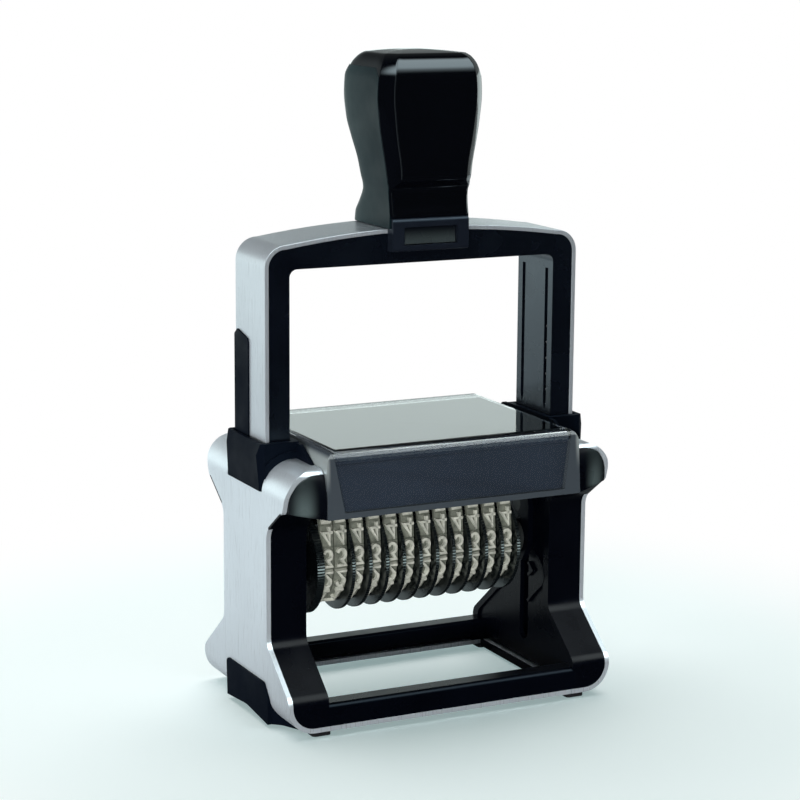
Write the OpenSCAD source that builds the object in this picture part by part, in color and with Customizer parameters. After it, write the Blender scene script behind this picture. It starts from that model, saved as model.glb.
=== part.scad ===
// Self-inking numbering machine with twelve number bands.
// Millimetres. Origin: centre of the footprint on the table. +Z up, front is -Y.

/* [Base] */
// Width over the steel side plates
base_w = 90; // [84:0.5:110]
// Height of the shoulders above the table
shoulder_h = 66.4; // [62:0.2:76]
// Depth of the base at the foot
foot_d = 54.6; // [48:0.2:70]
// Depth of the base at the waist
waist_d = 27.4; // [25:0.2:36]
// Depth of the base at the shoulders
shoulder_d = 50.6; // [44:0.2:64]
// Sheet thickness of the steel loop
sheet_t = 1.2; // [0.8:0.1:2]
// Height of the steel loop above the table
foot_gap = 1.3; // [1:0.1:3]
// Outer radius of the loop at the bottom corners
floor_r = 7; // [4:0.5:10]
// Outer radius of the loop at the shoulders
shoulder_r = 8; // [5:0.5:10]
// Width of the black side housings, from the steel to the inner wall
housing_w = 8.8; // [8.6:0.1:12]
// Thickness of the housings' inner wall
wall_t = 1.2; // [1:0.1:2]
// Height of the front and back bars
bar_h = 5.6; // [4:0.1:8]
// Depth of the front and back bars
bar_d = 6; // [4:0.1:10]

/* [Arch] */
// Height of the crown of the steel arch
arch_h = 121.4; // [112:0.2:140]
// Radius of the crown
crown_r = 250; // [150:5:600]
// Depth of the arch's legs
leg_d = 18.4; // [16:0.1:22]
// Thickness of the legs, with their steel
leg_t = 6.6; // [6.4:0.1:8]
// Thickness of the arch's steel band
band_steel_t = 1.1; // [0.8:0.1:1.4]
// Height of the opening's top edge
opening_h = 112.5; // [104:0.5:128]
// Travel of the arch
stroke = 34.5; // [30:0.5:36]
// Diameter of the pivot pins
pivot_pin_d = 4; // [3:0.1:5]

/* [Handle] */
// Height of the top of the handle
handle_h = 164.5; // [150:0.5:185]
// Width of the handle at its head
head_w = 28.4; // [24:0.2:34]
// Depth of the handle at its head
head_d = 28.5; // [24:0.2:34]
// Width of the handle at its neck
neck_w = 21; // [18:0.2:24]
// Width of the saddle clip
clip_w = 20.9; // [18:0.1:26]

/* [Number work] */
// Length of one character along a band
character_pitch = 5.8; // [5.4:0.1:6]
// Width of a band
band_w = 3.57; // [3:0.01:4]
// Pitch of the bands
band_pitch = 4.68; // [4.5:0.01:4.8]
// Thickness of a band without its characters
band_t = 1.2; // [0.8:0.1:1.6]
// Height of the raised characters
character_h = 0.8; // [0.4:0.1:1]
// Diameter of the thumb discs
disc_d = 26.2; // [25:0.1:27]
// Teeth on a thumb disc
disc_teeth = 108; // [24:4:120]
// Height of the wheel axle
axle_h = 37; // [36:0.1:38]
// Diameter of the wheel axle
axle_d = 3; // [2.4:0.1:4]
// Width of the spacer between the left carriage plate and the first thumb disc
left_spacer_w = 1.205; // [0.6:0.005:2]

/* [Cover and pad] */
// Height of the top of the clear cover
cover_h = 70.7; // [69:0.1:74]
// Height of the lower edge of the clear cover
cover_edge_h = 54.3; // [54:0.1:56]
// Depth of the cover at its lower edge
cover_d = 56; // [50:0.5:70]
// Wall of the cover
cover_t = 1.2; // [0.8:0.1:2]
// Thickness of the ink pad
pad_t = 3; // [2:0.1:4]

/* [Springs] */
// Outer diameter of a return spring
spring_d = 3.8; // [3:0.1:4]
// Diameter of the spring wire
spring_wire = 0.6; // [0.4:0.1:0.8]
// Turns of a return spring
spring_turns = 22; // [10:1:26]

/* [Clearances] */
// Gap between sliding faces
slide_gap = 0.3; // [0.2:0.05:0.5]
// Radial gap of a running fit
run_gap = 0.05; // [0.03:0.01:0.1]
// Gap beside each number wheel
wheel_gap = 0.08; // [0.05:0.01:0.1]

/* [Hidden] */
$fn = 64;
eps = 0.01;
// Arcs stand this much past the lines they run into, so that the two always cross
meet = 0.003;

// Base: planes that the housings, the legs and the collars share
plate_x = base_w / 2;
steel_in_x = plate_x - sheet_t;
wall_x = steel_in_x - housing_w;
pocket_x = wall_x + wall_t;
floor_top = foot_gap + sheet_t;
bar_top = floor_top + bar_h;
leg_out_x = steel_in_x - 0.6;
leg_in_x = leg_out_x - leg_t;
liner_out_x = leg_out_x - band_steel_t;
pocket_d = leg_d + 2 * slide_gap;
pocket_floor = 4;
waist_low = 20.8;
waist_high = 49.3;
flare_z = 9.8;
// Seams in the front edge of the bottom sheet; the back edge has them too
seam_left = -31;
seam_right = 33.9;
// Lower end of the shoulders, and how much shallower they are there
bulge_z = 56.2;
bulge_in = 1.8;
// The inner wall stands this much proud along its front and back edges
rim_t = 0.7;
rim_d = 2.7;
// Black lip over the steel's edge on the slopes under the shoulders
slope_lip = 0.5;
// Window in the floor, through which the bands print, and the strip along its sides
window_x = wall_x - 0.8;
window_y = foot_d / 2 - bar_d;
window_edge_t = 0.6;

// Collars: blocks that the legs slide through
collar_low = 58.7;
collar_top = 70.5;
collar_out = 0.8;
collar_d = pocket_d + 3;
lip_w = 1.8;
rib_front = 0.6;
rib_t = 0.4;
rib_top = 95.6;

// Arch
leg_bottom = 41;
leg_spring_top = 96;
corner_r = 5.5;
opening_r = 2;
liner_inset = 0.2;
channel_w = 1.5;
channel_t = 0.6;
channel_y = 5.9;

// Saddle clip and its lock button
clip_low = 115.7;
clip_top = 124;
clip_out = 3.1;
recess_w = 14.6;
recess_low = 117.3;
recess_top = 121.7;
button_travel = 0.9;

// Directions in which the number loop's facets run, from the lowest point of
// the wheel up to the print line; the last one ends half a character from the middle
loop_turns = [15, 45, 75, 93, 97, 115, 146.63];
loop_corner_r = character_pitch / (2 * sin(15));
loop_rise = character_pitch * loop_sum(len(loop_turns) - 1) - loop_corner_r;

// Print geometry: the print line stands as far above the pivot as the pivot
// stands above the table when the arch is down
print_h = axle_h + loop_rise;
pivot_h = (print_h + stroke) / 2;
flip_r = pivot_h - axle_h;
flip_per_mm = 180 / stroke;
down_pivot_h = pivot_h - stroke;

// Number bands
function loop_sum(i) = i < 0 ? 0 : loop_sum(i - 1) + sin(loop_turns[i]);
function loop_run(i) = i < 0 ? 0 : loop_run(i - 1) + cos(loop_turns[i]);
plate_t = 1.5;
plate_out_x = wall_x - 1.3;
plate_in_x = plate_out_x - plate_t;
first_disc_t = 2;
disc_t = band_pitch - band_w - 2 * wheel_gap;
disc_r = disc_d / 2;
pair_gap = 0.18;
first_band_x = left_spacer_w + wheel_gap + first_disc_t + wheel_gap + band_w / 2 - plate_in_x;
last_band_x = first_band_x + 10 * band_pitch + band_w + pair_gap;
band_x = [for (i = [1:12]) i == 1 ? first_band_x : last_band_x - (12 - i) * band_pitch];
bands_left = band_x[0] - band_w / 2;
bands_right = last_band_x + band_w / 2;
roller_d = 3.8;
roller_t = 0.8;
roller_out_x = wall_x - 0.15;
track_t = 0.8;
track_proud = 0.8;
slot_w = pivot_pin_d + 0.4;
slot_low = down_pivot_h - 0.6;
slot_high = pivot_h + 0.6;

// Pad and its rail
pad_low = print_h + 0.25;
tray_t = 1.2;
tray_top = pad_low + pad_t + tray_t;
tray_half = wall_x - 4.6;
tray_d = 30;
flange_w = 1.8;
flange_t = 1.2;
rail_t = 1.2;
rail_ear = 15;
ledge_top = tray_top - flange_t - 0.2;

// ---- Plane geometry -------------------------------------------------------

function unit(v) = v / norm(v);
function turn(a, b) = a[0] * b[1] - a[1] * b[0];
function xy(p) = [p[0], p[1]];
function mirrored_outline(half) =
    concat(half, [for (i = [len(half) - 1:-1:0]) [-half[i][0], half[i][1], half[i][2]]]);

// Outline with rounded corners. Each point is [x, y, radius], anticlockwise.
module rounded(points) {
    n = len(points);
    to_last = [for (i = [0:n - 1]) unit(xy(points[(i + n - 1) % n]) - xy(points[i]))];
    to_next = [for (i = [0:n - 1]) unit(xy(points[(i + 1) % n]) - xy(points[i]))];
    half_angle = [for (i = [0:n - 1]) acos(to_last[i] * to_next[i]) / 2];
    round_at = [for (i = [0:n - 1]) if (points[i][2] > 0) i];
    centre = [for (i = [0:n - 1])
        xy(points[i]) + unit(to_last[i] + to_next[i]) * points[i][2] / sin(half_angle[i])];
    outline = [for (i = [0:n - 1]) each points[i][2] > 0
        ? [for (side = [to_last[i], to_next[i]]) xy(points[i]) + side * points[i][2] / tan(half_angle[i])]
        : [xy(points[i])]];
    difference() {
        union() {
            polygon(outline);
            for (i = round_at) if (turn(to_last[i], to_next[i]) < 0)
                translate(centre[i]) circle(points[i][2] + meet);
        }
        for (i = round_at) if (turn(to_last[i], to_next[i]) > 0)
            translate(centre[i]) circle(points[i][2] + meet);
    }
}

// Extrudes an outline drawn in (y, z) along X, from x to x + width
module along_x(x, width) {
    translate([x, 0, 0]) rotate([90, 0, 90]) linear_extrude(width) children();
}

// Extrudes an outline drawn in (x, z) along Y, centred on y = 0
module along_y(depth) {
    translate([0, depth / 2, 0]) rotate([90, 0, 0]) linear_extrude(depth) children();
}

module box(low, high) {
    translate(low) cube(high - low);
}

module rod_x(d, x_low, x_high, y, z) {
    translate([x_low, y, z]) rotate([0, 90, 0]) cylinder(d = d, h = x_high - x_low);
}

module on_side(side) {
    mirror([side < 0 ? 1 : 0, 0, 0]) children();
}

// ---- Base -----------------------------------------------------------------

// Side view of the base: an hourglass, alike at the front and the back
side_outline = mirrored_outline([
    [foot_d / 2, -1, 0],
    [foot_d / 2, flare_z, 3.5],
    [waist_d / 2, waist_low, 4],
    [waist_d / 2, waist_high, 4],
    [shoulder_d / 2 - bulge_in, bulge_z, 1.5],
    [shoulder_d / 2, bulge_z + 5.6, 4],
    [shoulder_d / 2, shoulder_h + 0.01, 2]
]);

// Strip along the slope under a shoulder, from the plate's edge inwards by t
module slope_edge(t) {
    top = [-shoulder_d / 2 + bulge_in, bulge_z];
    low = [-waist_d / 2, waist_high];
    along = unit(low - top);
    inward = [-along[1], along[0]] * (along[0] < 0 ? -1 : 1);
    for (end = [0, 1]) mirror([end, 0]) polygon([
        top + along * 1 - inward, low - along * 1.6 - inward,
        low - along * 1.6 + inward * t, top + along * 1 + inward * t
    ]);
}

// Front view of the base, drawn in by t from its outer face
module front_outline(t) {
    rounded(mirrored_outline([
        [plate_x - t, foot_gap + t, floor_r - t],
        [plate_x - t, shoulder_h - t, shoulder_r - t]
    ]));
}

module collar_cut(gap) {
    for (side = [-1, 1]) on_side(side)
        box([wall_x - eps, -collar_d / 2 - gap, collar_low - gap],
            [plate_x + 5, collar_d / 2 + gap, collar_top + 5]);
}

module steel_frame() {
    color("silver") difference() {
        intersection() {
            along_y(foot_d + 10) front_outline(0);
            along_x(-plate_x - 1, base_w + 2) rounded(side_outline);
        }
        along_y(foot_d + 20) front_outline(sheet_t);
        box([-window_x, -window_y, -1], [window_x, window_y, floor_top + 1]);
        box([-wall_x, -foot_d, bulge_z], [wall_x, foot_d, shoulder_h + 5]);
        collar_cut(0);
        along_x(-plate_x - 1, base_w + 2) slope_edge(slope_lip);
        for (turned = [0, 180], x = [seam_left, seam_right]) rotate(turned)
            box([x - 0.12, -foot_d, 0], [x + 0.12, 0.5 - foot_d / 2, floor_top + 0.1]);
    }
}

// Path of the roller against the housing while the arch goes down by s
function cam_point(s, offset) =
    let (a = flip_per_mm * s,
         p = [-flip_r * sin(a), pivot_h - s - flip_r * cos(a)],
         d = unit([-flip_r * cos(a) * PI / stroke, -1 + flip_r * sin(a) * PI / stroke]))
    p + offset * [-d[1], d[0]];

function cam_line(offset, from, to, steps) =
    [for (i = [0:steps]) cam_point(stroke * (from + (to - from) * i / steps), offset)];

// Pad that brings the front of a shoulder forward to the cover's face
module shoulder_pad() {
    pad_y = cover_d / 2 - 0.6;
    intersection() {
        translate([0, 0, waist_high]) linear_extrude(shoulder_h - waist_high) polygon([
            [steel_in_x, -pad_y + 2.6], [wall_x + 4.5, -pad_y + 0.8], [wall_x, -pad_y],
            [wall_x, -pocket_d / 2 - 2], [steel_in_x, -pocket_d / 2 - 2]
        ]);
        along_y(foot_d + 10) intersection() {
            front_outline(sheet_t);
            polygon([
                [wall_x, cover_edge_h], [plate_x, bulge_z + 0.1], [plate_x, shoulder_h], [wall_x, shoulder_h]
            ]);
        }
        along_x(wall_x, housing_w + 1) polygon([
            [0, cover_edge_h - 1], [-pad_y - 1, cover_edge_h - 1], [-pad_y + 0.2, shoulder_h - 6.2],
            [-pad_y + 1.2, shoulder_h - 2.4], [-pad_y + 2.3, shoulder_h], [0, shoulder_h]
        ]);
    }
}

// Right-hand housing: a channel for the leg, closed to the inside by a wall
// with the pivot's slot and the two ribs of the cam track
module housing() {
    track_half = roller_d / 2 + 0.25;
    difference() {
        union() {
            intersection() {
                along_y(foot_d + 10) front_outline(sheet_t);
                along_x(wall_x, housing_w + 1) rounded(side_outline);
            }
            intersection() {
                along_x(wall_x - rim_t, rim_t + 1) difference() {
                    rounded(side_outline);
                    rounded(mirrored_outline(
                        [for (p = side_outline) if (p[0] > 0) [p[0] - rim_d, p[1], p[2]]]));
                }
                box([0, -foot_d, bar_top - 1], [plate_x, foot_d, waist_high + 2]);
            }
            for (end = [0, 1]) mirror([0, end, 0]) shoulder_pad();
            // Lips over the steel's edge on the slopes under the shoulders
            intersection() {
                along_x(steel_in_x - 0.5, sheet_t + 0.5) intersection() {
                    rounded(side_outline);
                    slope_edge(slope_lip - 0.02);
                }
                box([0, -foot_d, 0], [plate_x - 0.02, foot_d, shoulder_h]);
            }
        }
        box([pocket_x, -pocket_d / 2, pocket_floor],
            [plate_x, pocket_d / 2, shoulder_h + 1]);
        box([wall_x - 1, -window_y, 0], [pocket_x + 0.8, window_y, floor_top + 0.9]);
        collar_cut(0);
        along_x(wall_x - 1, wall_t + 2) {
            for (z = [slot_low, slot_high]) translate([0, z]) circle(d = slot_w + 2 * meet);
            translate([-slot_w / 2, slot_low]) square([slot_w, slot_high - slot_low]);
        }
    }
    along_x(wall_x - track_proud, track_proud + eps) {
        polygon(concat(cam_line(-track_half, 0.04, 0.96, 24),
            cam_line(-track_half - track_t, 0.96, 0.04, 24)));
        polygon(concat(cam_line(track_half, 0.18, 0.3, 3), cam_line(track_half, 0.7, 0.82, 3),
            cam_line(track_half + track_t, 0.82, 0.75, 3), cam_line(track_half + track_t, 0.25, 0.18, 3)));
    }
}

// Edge strip along the side of the window in the floor
module window_edge() {
    box([window_x - window_edge_t, -window_y, foot_gap - window_edge_t], [window_x, window_y, floor_top]);
}

module housing_right() {
    color("#14181c") union() {
        housing();
        window_edge();
    }
}

module housing_left() { color("#14181c") on_side(-1) union() {
    housing();
    window_edge();
} }

module cross_bar() {
    difference() {
        along_x(-wall_x, 2 * wall_x) rounded([
            [-foot_d / 2, floor_top, 0], [-foot_d / 2 + bar_d, floor_top, 0],
            [-foot_d / 2 + bar_d, bar_top, 1], [-foot_d / 2, bar_top, 1.2]
        ]);
        along_x(-wall_x + 4, 2 * wall_x - 8)
            translate([-foot_d / 2 + bar_d, floor_top]) rotate(45) square(2, center = true);
    }
}

module front_bar() { color("#14181c") cross_bar(); }
module back_bar() { color("#14181c") mirror([0, 1, 0]) cross_bar(); }

// Collar: guides a leg, and fills the notch in the steel shoulder. Its outer
// face leans in towards the top, where a gap leaves a thin rim around the leg;
// an upright plate beside the cover stands on the shoulder.
module collar() {
    out_x = plate_x + collar_out;
    rim_x = out_x - 1.7;
    plate_low = shoulder_h;
    difference() {
        union() {
            intersection() {
                along_y(collar_d) polygon([[wall_x, collar_low], [out_x - 0.6, collar_low],
                    [out_x, collar_top - 2.9], [out_x - 0.8, collar_top], [wall_x, collar_top]]);
                translate([0, 0, collar_low - 1]) linear_extrude(collar_top) rounded(
                    [[0, -collar_d / 2, 0], [out_x - 1.6, -collar_d / 2, 0], [out_x, -collar_d / 2 + 1.6, 0],
                    [out_x, collar_d / 2 - 1.6, 0], [out_x - 1.6, collar_d / 2, 0], [0, collar_d / 2, 0]]);
            }
            intersection() {
                along_y(collar_d + 1) difference() {
                    front_outline(-lip_w);
                    front_outline(0);
                }
                box([wall_x, -collar_d, collar_low], [out_x - 1.6, collar_d, collar_top - 0.4]);
            }
            along_x(wall_x, 0.9) rounded(mirrored_outline([
                [collar_d / 2 + 9.2, plate_low, 0], [collar_d / 2 + 2.4, collar_top - 0.3, 1.5]
            ]));
        }
        box([leg_in_x - slide_gap, -pocket_d / 2, collar_low - 1],
            [leg_out_x + slide_gap, pocket_d / 2, collar_top + 1]);
        box([leg_out_x, rib_front - slide_gap, collar_low - 1],
            [leg_out_x + rib_t + slide_gap, pocket_d / 2, collar_top + 1]);
        box([leg_out_x, -pocket_d / 2, collar_top - 3], [rim_x, pocket_d / 2, collar_top + 1]);
    }
}

module collar_right() { color("#101316") collar(); }
module collar_left() { color("#101316") on_side(-1) collar(); }

// Skirts fill the corner under the loop's bend, and taper off to the front feet
module foot_skirts() {
    skirt_low = 0.9;
    skirt_front = -15.6;
    skirt_x = plate_x - floor_r + 0.4;
    color("#101316") for (side = [-1, 1]) on_side(side) difference() {
        union() {
            along_x(skirt_x, floor_r + 0.2) rounded([
                [10.5, skirt_low + 0.3, 0], [11, 10.9, 1.2], [-12.7, 11, 1.5],
                [skirt_front, 7.6, 2], [skirt_front, skirt_low, 0], [-2, 2.3, 12]
            ]);
            translate([0, 0, skirt_low]) linear_extrude(5) polygon([
                [skirt_x, skirt_front + 1], [skirt_x, -25.8],
                [plate_x - 2.6, skirt_front - 1.9], [plate_x + 0.6, skirt_front + 1]
            ]);
        }
        along_y(foot_d + 10) front_outline(0);
    }
}

module rubber_feet() {
    foot_w = 5;
    foot_x = 35.7;
    foot_y = foot_d / 2 - 3.4;
    color("#0a0a0c") for (side = [-1, 1], end = [-1, 1])
        translate([side * foot_x, end * foot_y, 0]) linear_extrude(foot_gap)
            rounded([for (c = [[1, -1], [1, 1], [-1, 1], [-1, -1]])
                [c[0] * foot_w / 2, c[1] * foot_w / 2, 1]]);
}

// ---- Cover, index card and ink pad ---------------------------------------

cover_x = wall_x - 0.15;

module cover_outline(t) {
    rounded(mirrored_outline([
        [cover_x - t, cover_edge_h - (t > 0 ? 1 : 0), 0],
        [cover_x - t, cover_h - t, 3.4 - t]
    ]));
}

module cover_side(t) {
    rounded(mirrored_outline([
        [cover_d / 2 - t, cover_edge_h - (t > 0 ? 1 : 0), 0],
        [cover_d / 2 - 1.5 - t, cover_h - t, 2.6 - t]
    ]));
}

module cover_solid(t) {
    intersection() {
        along_y(cover_d + 10) cover_outline(t);
        along_x(-cover_x - 1, 2 * cover_x + 2) cover_side(t);
    }
}

module top_cover() {
    color("#7d878f", 0.5) difference() {
        cover_solid(0);
        cover_solid(cover_t);
        box([-tray_half - flange_w - 0.5, 0, cover_edge_h - 1],
            [tray_half + flange_w + 0.5, cover_d, tray_top + 0.6]);
        box([-cover_x - 1, -rail_ear / 2 - 0.2, cover_edge_h - 1],
            [cover_x + 1, rail_ear / 2 + 0.2, ledge_top]);
    }
}

// Card under the cover, bent down its front, where it gets narrower
module index_card() {
    card_t = 0.5;
    card_x = cover_x - 2.4;
    color("#262f3c") difference() {
        intersection() {
            cover_solid(cover_t);
            along_y(cover_d + 10) rounded(mirrored_outline([
                [card_x - 2.1, cover_edge_h + 1.4, 1], [card_x, cover_h - 3, 0], [card_x, cover_h, 0]
            ]));
            box([-card_x, -cover_d, cover_edge_h], [card_x, cover_d / 2 - 8, cover_h]);
        }
        along_x(-cover_x, 2 * cover_x) cover_side(cover_t + card_t);
    }
}

// Rail between the housings: carries the cover and the sliding pad tray
module pad_rail() {
    rail_x = cover_x - cover_t - 0.4;
    rail_top = cover_h - cover_t - 4;
    slot_half = tray_half + flange_w + 0.2;
    color("#15191d") difference() {
        union() {
            box([-rail_x, -22, ledge_top - rail_t], [rail_x, 22, rail_top]);
            box([-wall_x, -rail_ear / 2, ledge_top - rail_t], [wall_x, rail_ear / 2, ledge_top]);
        }
        box([-slot_half, -20.5, ledge_top], [slot_half, 23, tray_top + 0.2]);
        box([-tray_half - 0.25, -20.5, ledge_top - 2], [tray_half + 0.25, 23, tray_top]);
        box([-slot_half + 1, -20.5, tray_top + rail_t], [slot_half - 1, 20.5, rail_top + 1]);
    }
}

module pad_tray() {
    tray_back = cover_d / 2 - 1;
    tray_front = -tray_d / 2 - 1;
    color("#1a1e22") difference() {
        union() {
            box([-tray_half, tray_front, pad_low], [tray_half, tray_back, tray_top]);
            box([-tray_half - flange_w, tray_front, tray_top - flange_t],
                [tray_half + flange_w, 22, tray_top]);
        }
        box([-tray_half + tray_t, -tray_d / 2, pad_low - 1],
            [tray_half - tray_t, tray_d / 2, pad_low + pad_t]);
        translate([0, tray_back, tray_top - 1]) rotate([0, 90, 0]) cylinder(d = 1.6, h = 24, center = true);
    }
}

module ink_pad() {
    color("#20242c") difference() {
        box([-tray_half + tray_t, -tray_d / 2, pad_low], [tray_half - tray_t, tray_d / 2, pad_low + pad_t]);
        for (end = [-1, 1]) translate([0, end * tray_d / 2, pad_low])
            rotate([45, 0, 0]) cube([2 * tray_half, 0.8, 0.8], center = true);
    }
}

// ---- Return springs -------------------------------------------------------

function spring_ring(i, steps, low, high) =
    let (a = 360 * spring_turns * i / steps, r = (spring_d - spring_wire) / 2,
         z = low + (high - low) * i / steps, out = [cos(a), sin(a), 0])
    [for (k = [0:4]) out * (r + spring_wire / 2 * cos(72 * k))
        + [0, 0, z + spring_wire / 2 * sin(72 * k)]];

module coil(low, high) {
    steps = 8 * spring_turns;
    sides = 5;
    points = [for (i = [0:steps]) each spring_ring(i, steps, low + spring_wire, high - spring_wire)];
    walls = [for (i = [0:steps - 1], k = [0:sides - 1])
        let (a = sides * i + k, b = sides * i + (k + 1) % sides)
        each [[a, a + sides, b + sides], [a, b + sides, b]]];
    polyhedron(points, concat(walls, [[for (k = [0:sides - 1]) k]],
        [[for (k = [sides - 1:-1:0]) sides * steps + k]]));
}

spring_x = (leg_in_x + liner_out_x) / 2;
spring_y = 5;

module return_spring_left() {
    color("#b8bcc0") translate([-spring_x, spring_y, 0]) coil(pocket_floor, leg_spring_top);
}
module return_spring_right() {
    color("#b8bcc0") translate([spring_x, -spring_y, 0]) coil(pocket_floor, leg_spring_top);
}

// ---- Arch -----------------------------------------------------------------

// Front view of the arch, drawn in by t from the steel's outer face: two legs,
// rounded corners and a slightly domed crown
function crown_drop(x) = x * x / (2 * crown_r);

module crowned(t) {
    corner_x = leg_out_x - corner_r;
    corner_z = arch_h - crown_drop(corner_x) - corner_r;
    low = leg_bottom - (t > 0 ? 1 : 0);
    translate([-leg_out_x + t, low]) square([2 * (leg_out_x - t), corner_z - low]);
    for (side = [-1, 1]) translate([side * corner_x, corner_z]) circle(corner_r - t + meet);
    intersection() {
        translate([-corner_x, corner_z - 1]) square([2 * corner_x, corner_r + 10]);
        translate([0, arch_h - crown_r]) circle(crown_r - t, $fn = 720);
    }
}

module opening_outline() {
    rounded(mirrored_outline([
        [leg_in_x, leg_bottom - 1, 0], [leg_in_x, opening_h, opening_r]
    ]));
}

module arch_band() {
    color("silver") along_y(leg_d) difference() {
        crowned(0);
        crowned(band_steel_t);
    }
}

module arch_liner() {
    color("#0d1014") difference() {
        along_y(leg_d - 2 * liner_inset) difference() {
            crowned(band_steel_t);
            opening_outline();
            translate([-leg_out_x, leg_bottom - 2]) square([2 * leg_out_x, 2]);
        }
        for (side = [-1, 1]) {
            on_side(side) along_x(leg_in_x - 1, channel_t + 1) for (end = [-1, 1]) polygon([
                [end * channel_y - channel_w / 2, collar_top + 3], [end * channel_y, collar_top + 1],
                [end * channel_y + channel_w / 2, collar_top + 3],
                [end * channel_y + channel_w / 2, opening_h - 4],
                [end * channel_y - channel_w / 2, opening_h - 4]
            ]);
            translate([side * spring_x, -side * spring_y, leg_bottom - 1])
                cylinder(d = spring_d + 0.6, h = leg_spring_top - leg_bottom + 1);
            on_side(side) rod_x(pivot_pin_d, leg_in_x - 1, liner_out_x - 1, 0, pivot_h);
        }
    }
}

module guide_ribs() {
    color("#101316") for (side = [-1, 1]) on_side(side) along_x(leg_out_x, rib_t)
        rounded([
            [rib_front, leg_bottom + 3, 0], [leg_d / 2, leg_bottom + 3, 0], [leg_d / 2, rib_top - 0.8, 0],
            [leg_d / 2 - 1.8, rib_top + 0.6, 0.5], [rib_front, rib_top - 1, 1.2]
        ]);
}

module pivot_pins() {
    color("#c4c8cc") for (side = [-1, 1]) on_side(side)
        rod_x(pivot_pin_d, plate_in_x, liner_out_x - 1, 0, pivot_h);
}

// ---- Handle ---------------------------------------------------------------

module saddle_clip() {
    front_y = -leg_d / 2 - clip_out;
    back_y = leg_d / 2 + clip_out - 0.9;
    color("#0c0e12") difference() {
        intersection() {
            along_x(-clip_w / 2, clip_w) rounded([
                [back_y, clip_low, 0.8], [back_y, clip_top, 0],
                [front_y, clip_top, 1.2], [front_y, clip_low, 0.8]
            ]);
            translate([0, 0, clip_low - 1]) linear_extrude(clip_top - clip_low + 2) rounded([
                [-clip_w / 2 - eps, front_y - 1, 0], [clip_w / 2 + eps, front_y - 1, 0],
                [clip_w / 2 + eps, back_y + eps, 5], [-clip_w / 2 - eps, back_y + eps, 5]
            ]);
        }
        along_y(leg_d) union() {
            crowned(0);
            translate([-clip_w, clip_low - 1]) square([2 * clip_w, 5]);
        }
        box([-recess_w / 2, front_y - 1, recess_low], [recess_w / 2, -leg_d / 2 + 1, recess_top]);
    }
}

module lock_button() {
    face_y = -leg_d / 2 - clip_out + 0.6;
    gap = 0.15;
    color("#181c20") difference() {
        box([-recess_w / 2 + gap, face_y, recess_low + gap],
            [recess_w / 2 - gap, -leg_d / 2 - button_travel - 0.1, recess_top - gap]);
        translate([0, face_y - 9.6, (recess_low + recess_top) / 2]) rotate([0, 90, 0])
            cylinder(r = 10, h = recess_w + 1, center = true, $fn = 360);
        translate([0, face_y, recess_low + 1]) cube([1.4, 1, 1.6], center = true);
    }
}

// Height, half width, front, back and bevel of the handle, from the neck up
neck_z = clip_top;
head_z = handle_h;
front_y = -head_d / 2;
back_y = head_d / 2;
handle_levels = [
    [neck_z, clip_w / 2, front_y + 2.4, back_y - 2.9, 0.6],
    [neck_z + 2.6, neck_w / 2 + 0.2, front_y + 2.9, back_y - 4.1, 0.5],
    [neck_z + 5.6, neck_w / 2, front_y + 3.2, back_y - 5, 0.5],
    [neck_z + 7, neck_w / 2 + 0.1, front_y + 3, back_y - 5, 0.5],
    [neck_z + 9.3, neck_w / 2 + 0.6, front_y + 0.45, back_y - 4.6, 2.5],
    [neck_z + 13.6, neck_w / 2 + 1.4, front_y + 0.35, back_y - 3.6, 2.75],
    [neck_z + 18.6, head_w / 2 - 1.3, front_y + 0.25, back_y - 1.8, 2.8],
    [head_z - 16.9, head_w / 2 - 0.5, front_y + 0.1, back_y - 0.3, 2.9],
    [head_z - 10.9, head_w / 2, front_y, back_y, 2.9],
    [head_z - 6.9, head_w / 2 - 0.2, front_y, back_y, 2.9],
    [head_z - 3.9, head_w / 2 - 1.4, front_y + 0.6, back_y - 1.4, 2.6],
    [head_z - 1.6, head_w / 2 - 3.2, front_y + 2, back_y - 3.4, 2.4],
    [head_z, head_w / 2 - 5.6, front_y + 4.8, back_y - 6, 2.2]
];

// Section: a flat face with two bevels at the front, round corners at the back
function handle_ring(level, inset) =
    let (w = level[1] - inset, front = level[2], back = level[3] - inset, bevel = level[4],
         r = min(8, 5 + (level[0] - neck_z) / 2, w - 1, (back - front) / 2))
    concat(
        [[-w + bevel, front, level[0]], [w - bevel, front, level[0]], [w, front + bevel, level[0]]],
        [for (a = [0:15:90]) [w - r + r * cos(a), back - r + r * sin(a), level[0]]],
        [for (a = [90:15:180]) [-w + r + r * cos(a), back - r + r * sin(a), level[0]]],
        [[-w, front + bevel, level[0]]]
    );

module loft(rings) {
    n = len(rings[0]);
    m = len(rings);
    points = [for (ring = rings) each ring];
    walls = [for (j = [0:m - 2], k = [0:n - 1])
        [n * j + k, n * (j + 1) + k, n * (j + 1) + (k + 1) % n, n * j + (k + 1) % n]];
    polyhedron(points, concat(walls, [[for (k = [0:n - 1]) k]],
        [[for (k = [n - 1:-1:0]) n * (m - 1) + k]]));
}

cheek_t = 0.6;
cheek_front = front_y + 3.4;
cheek_top = head_z - 4.3;

module handle_body(inset) {
    loft([for (level = handle_levels) handle_ring(level, inset)]);
}

// Region of the cheeks, in side view
module cheek_region() {
    rounded([
        [cheek_front, neck_z - 3, 0], [head_d, neck_z - 3, 0],
        [head_d, cheek_top, 0], [cheek_front, cheek_top, 4]
    ]);
}

module handle_core() {
    color("#0b0d11") difference() {
        handle_body(0);
        difference() {
            along_x(-head_w, 2 * head_w) cheek_region();
            handle_body(cheek_t);
        }
        panel_region(0);
    }
}

module handle_cheek(side) {
    color("#35424a") intersection() {
        difference() {
            handle_body(0);
            handle_body(cheek_t);
        }
        along_x(side < 0 ? -head_w : 0, head_w) cheek_region();
    }
}

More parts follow.
